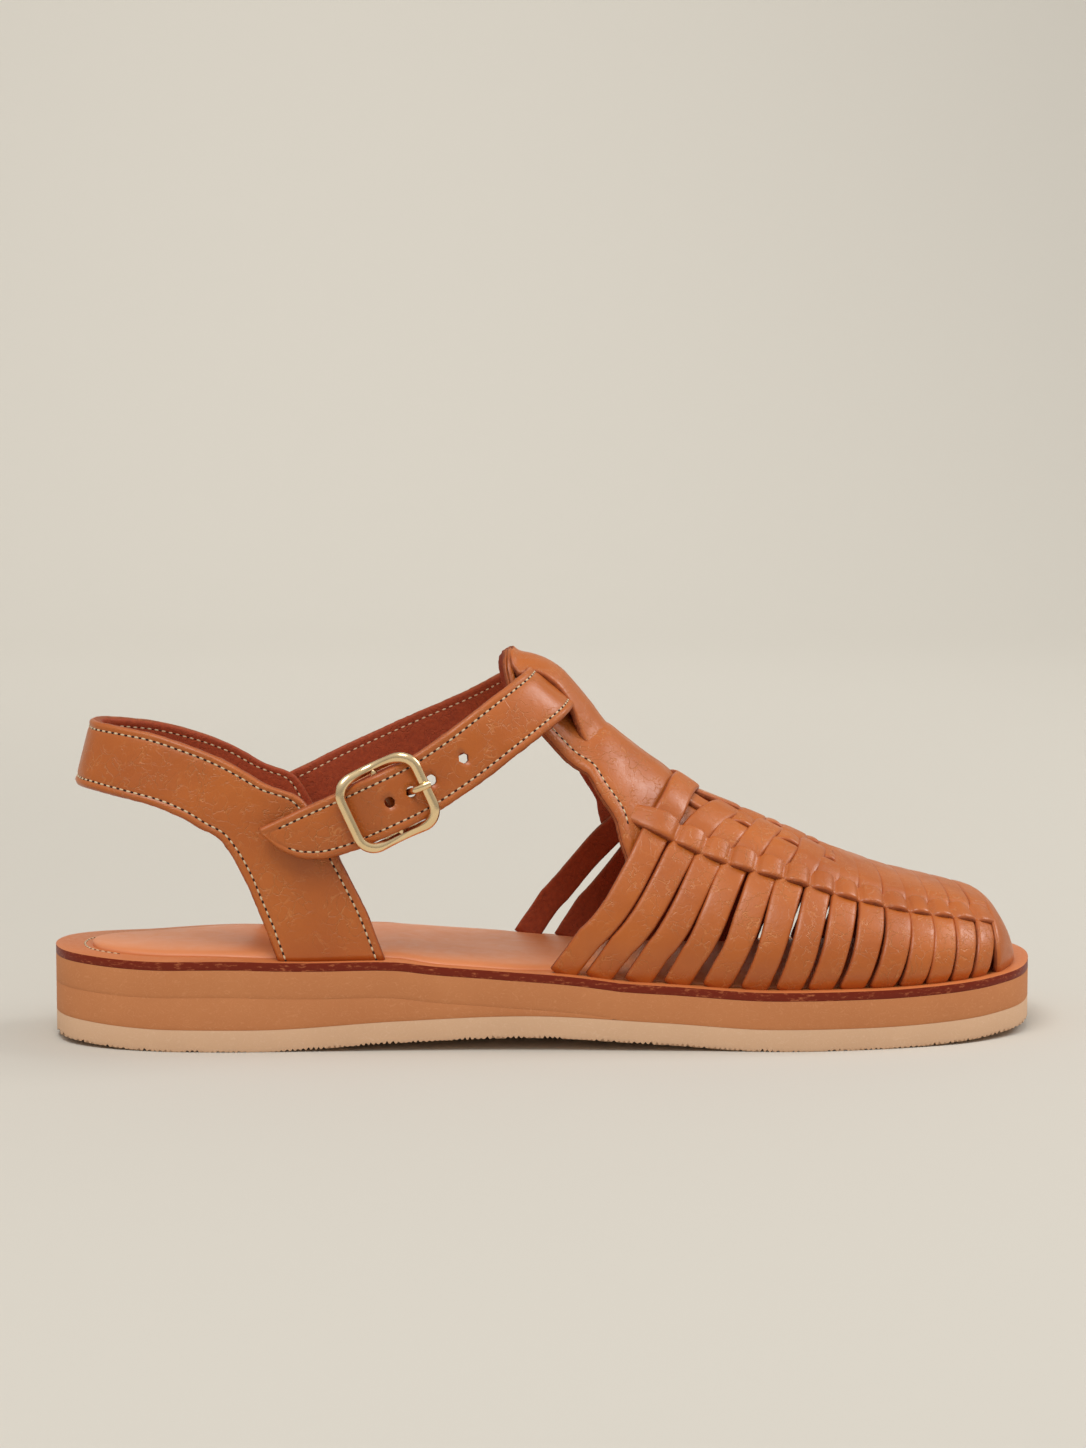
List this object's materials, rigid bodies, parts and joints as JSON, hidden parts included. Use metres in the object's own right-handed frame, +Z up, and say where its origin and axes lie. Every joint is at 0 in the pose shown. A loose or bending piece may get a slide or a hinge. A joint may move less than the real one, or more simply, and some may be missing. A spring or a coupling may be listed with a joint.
{
  "type": "huarache sandal",
  "caption": "Closed-toe woven leather sandal for the right foot, with an instep strap, a buckled ankle strap, a heel sling and a flat layered sole.",
  "frame": {"origin": "centre of the bounding box at the floor, under the middle of the sole", "axes": "+X to the toe, +Y to the inner side of the right foot, +Z up"},
  "size_m": [0.2598, 0.0877, 0.1024],
  "materials": {
    "pale_outsole": "matte, fine grain",
    "tan_midsole": "matte, sanded edge",
    "footbed_leather": "smooth, dark burnished edge",
    "sock_leather": "smooth satin",
    "upper_leather": "semi-gloss, lightly creased",
    "polished_brass": "polished"
  },
  "bodies": {
    "root": {"outsole": "pale_outsole", "heel_wedge": "tan_midsole", "midsole": "tan_midsole", "footbed": "footbed_leather", "insole": "sock_leather", "woven_upper": "upper_leather", "heel_sling": "upper_leather", "ankle_strap": "upper_leather", "buckle_frame": "polished_brass", "buckle_prong": "polished_brass", "buckle_tab": "upper_leather"}
  },
  "joints": []
}
